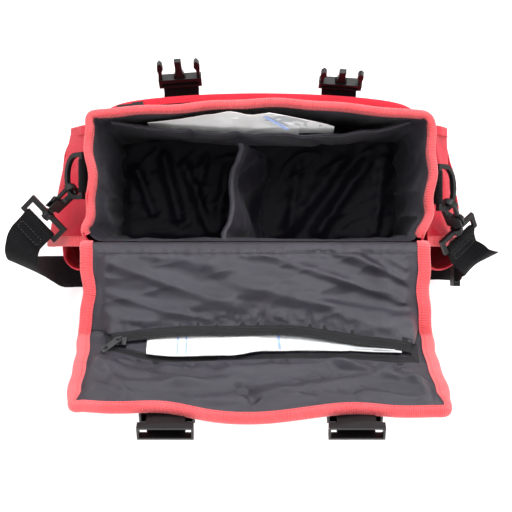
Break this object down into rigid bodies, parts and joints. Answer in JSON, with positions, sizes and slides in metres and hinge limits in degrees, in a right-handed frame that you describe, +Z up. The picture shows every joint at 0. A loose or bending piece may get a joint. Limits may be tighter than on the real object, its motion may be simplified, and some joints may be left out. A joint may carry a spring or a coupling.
{
  "type": "first aid shoulder bag",
  "caption": "Soft red shoulder bag for first-aid kit: hinged padded lid with a zip pocket, side and front pockets, side-release buckles and a clip-on shoulder strap.",
  "frame": {"origin": "middle of the underside, on the surface that the bag stands on", "axes": "+X along the bag's width, +Y towards the front with its pocket and male buckles, +Z up; the lid is hinged along the back (-Y)"},
  "size_m": [0.5321, 0.3745, 0.3408],
  "materials": {
    "red_cloth": "matte woven nylon",
    "red_binding": "ribbed woven tape",
    "black_lining": "slightly shiny coated nylon",
    "black_webbing": "matte woven webbing",
    "black_plastic": "satin moulded plastic",
    "base_board": "matte sheet",
    "zip_cloth": "woven tape with moulded coil"
  },
  "bodies": {
    "bag": {"base_panel": "red_cloth", "back_panel": "red_cloth", "front_panel": "red_cloth", "side_panel_left": "red_cloth", "side_panel_right": "red_cloth", "base_board": "base_board", "lining": "black_lining", "rim_binding": "red_binding", "divider": "black_lining", "slip_pocket": "black_lining", "front_pocket": "red_cloth", "front_zip": "zip_cloth", "front_strap_left": "black_webbing", "front_strap_right": "black_webbing", "back_strap_left": "black_webbing", "back_strap_right": "black_webbing", "side_pocket_left": "red_cloth", "side_pocket_right": "red_cloth", "side_cover_left": "red_cloth", "side_cover_right": "red_cloth", "d_ring_tab_left": "black_webbing", "d_ring_tab_right": "black_webbing", "shoulder_strap": "black_webbing"},
    "lid_back": {"lid_back_panel": "red_cloth", "lid_back_binding_left": "red_binding", "lid_back_binding_right": "red_binding", "lid_back_strap_left": "black_webbing", "lid_back_strap_right": "black_webbing", "lid_pocket": "black_lining", "zip_tape_upper": "zip_cloth"},
    "lid_front": {"lid_front_panel": "red_cloth", "lid_front_binding_left": "red_binding", "lid_front_binding_right": "red_binding", "lid_front_strap_left": "black_webbing", "lid_front_strap_right": "black_webbing", "lid_front_lining": "black_lining", "zip_tape_lower": "zip_cloth"},
    "lid_lip": {"lid_lip_panel": "red_cloth", "lid_lip_binding": "red_binding"},
    "zip_slider": {"zip_slider": "black_plastic"},
    "zip_pull": {"zip_pull": "black_plastic"},
    "front_zip_slider": {"front_zip_slider": "black_plastic"},
    "strap_adjuster": {"strap_adjuster": "black_plastic"},
    "female_left": {"female_buckle_left": "black_plastic"},
    "male_left": {"male_buckle_left": "black_plastic", "male_tail_left": "black_webbing"},
    "ring_left": {"d_ring_left": "black_plastic", "swivel_eye_left": "black_plastic", "strap_end_left": "black_webbing"},
    "hook_left": {"snap_hook_left": "black_plastic"},
    "bolt_left": {"hook_bolt_left": "black_plastic"},
    "female_right": {"female_buckle_right": "black_plastic"},
    "male_right": {"male_buckle_right": "black_plastic", "male_tail_right": "black_webbing"},
    "ring_right": {"d_ring_right": "black_plastic", "swivel_eye_right": "black_plastic", "strap_end_right": "black_webbing"},
    "hook_right": {"snap_hook_right": "black_plastic"},
    "bolt_right": {"hook_bolt_right": "black_plastic"}
  },
  "joints": [
    {"name": "lid_hinge", "type": "hinge", "parent": "bag", "child": "lid_back", "pos_m": [0, -0.074, 0.237], "axis": [-1, 0, 0], "range_deg": [-6, 179]},
    {"name": "lid_crease", "type": "hinge", "parent": "lid_back", "child": "lid_front", "pos_m": [0, -0.158, 0.237], "axis": [1, 0, 0], "range_deg": [-2, 57]},
    {"name": "lid_lip_fold", "type": "hinge", "parent": "lid_front", "child": "lid_lip", "pos_m": [0, -0.19939, 0.30074], "axis": [-1, 0, 0], "range_deg": [-3, 90]},
    {"name": "zip_slide", "type": "slide", "parent": "lid_back", "child": "zip_slider", "axis": [1, 0, 0], "range_m": [0, 0.27]},
    {"name": "zip_pull_hinge", "type": "hinge", "parent": "zip_slider", "child": "zip_pull", "pos_m": [-0.137, -0.15817, 0.25997], "axis": [-0.7071, 0.5086, -0.4912], "range_deg": [0, 120]},
    {"name": "front_zip_slide", "type": "slide", "parent": "bag", "child": "front_zip_slider", "axis": [0.9968, 0.0801, 0], "range_m": [0, 0.06]},
    {"name": "strap_adjuster_slide", "type": "slide", "parent": "bag", "child": "strap_adjuster", "axis": [0, 0, 1], "range_m": [-0.015, 0.02]},
    {"name": "female_hinge_left", "type": "hinge", "parent": "lid_lip", "child": "female_left", "pos_m": [-0.086, -0.21501, 0.30276], "axis": [1, 0, 0], "range_deg": [0, 45]},
    {"name": "male_hinge_left", "type": "hinge", "parent": "bag", "child": "male_left", "pos_m": [-0.086, 0.10466, 0.138], "axis": [0.9977, 0.0682, 0], "range_deg": [-120, 28]},
    {"name": "ring_hinge_left", "type": "hinge", "parent": "bag", "child": "ring_left", "pos_m": [-0.182, 0.004, 0.211], "axis": [0, 1, 0], "range_deg": [-1.5, 35], "deforming": ["shoulder_strap"]},
    {"name": "hook_swivel_left", "type": "hinge", "parent": "ring_left", "child": "hook_left", "pos_m": [-0.19695, -0.01138, 0.19754], "axis": [-0.7036, -0.6795, -0.2079], "range_deg": [-8, 8]},
    {"name": "bolt_slide_left", "type": "slide", "parent": "hook_left", "child": "bolt_left", "axis": [-0.7036, -0.6795, -0.2079], "range_m": [0, 0.0048], "stiffness_N_per_m": 30, "springref_m": -0.01},
    {"name": "female_hinge_right", "type": "hinge", "parent": "lid_lip", "child": "female_right", "pos_m": [0.086, -0.21501, 0.30276], "axis": [1, 0, 0], "range_deg": [0, 45]},
    {"name": "male_hinge_right", "type": "hinge", "parent": "bag", "child": "male_right", "pos_m": [0.086, 0.10466, 0.138], "axis": [0.9977, -0.0682, 0], "range_deg": [-136, 12]},
    {"name": "ring_hinge_right", "type": "hinge", "parent": "bag", "child": "ring_right", "pos_m": [0.182, -0.008, 0.211], "axis": [0, -1, 0], "range_deg": [-1.5, 35]},
    {"name": "hook_swivel_right", "type": "hinge", "parent": "ring_right", "child": "hook_right", "pos_m": [0.19475, -0.02684, 0.19952], "axis": [0.3596, -0.6764, -0.6428], "range_deg": [-8, 8]},
    {"name": "bolt_slide_right", "type": "slide", "parent": "hook_right", "child": "bolt_right", "axis": [0.3596, -0.6764, -0.6428], "range_m": [0, 0.0048], "stiffness_N_per_m": 30, "springref_m": -0.01}
  ],
  "couplings": [
    {"joint": "lid_crease", "follows": "lid_hinge", "ratio": 0.31667},
    {"joint": "lid_lip_fold", "follows": "lid_hinge", "ratio": 0.5}
  ]
}
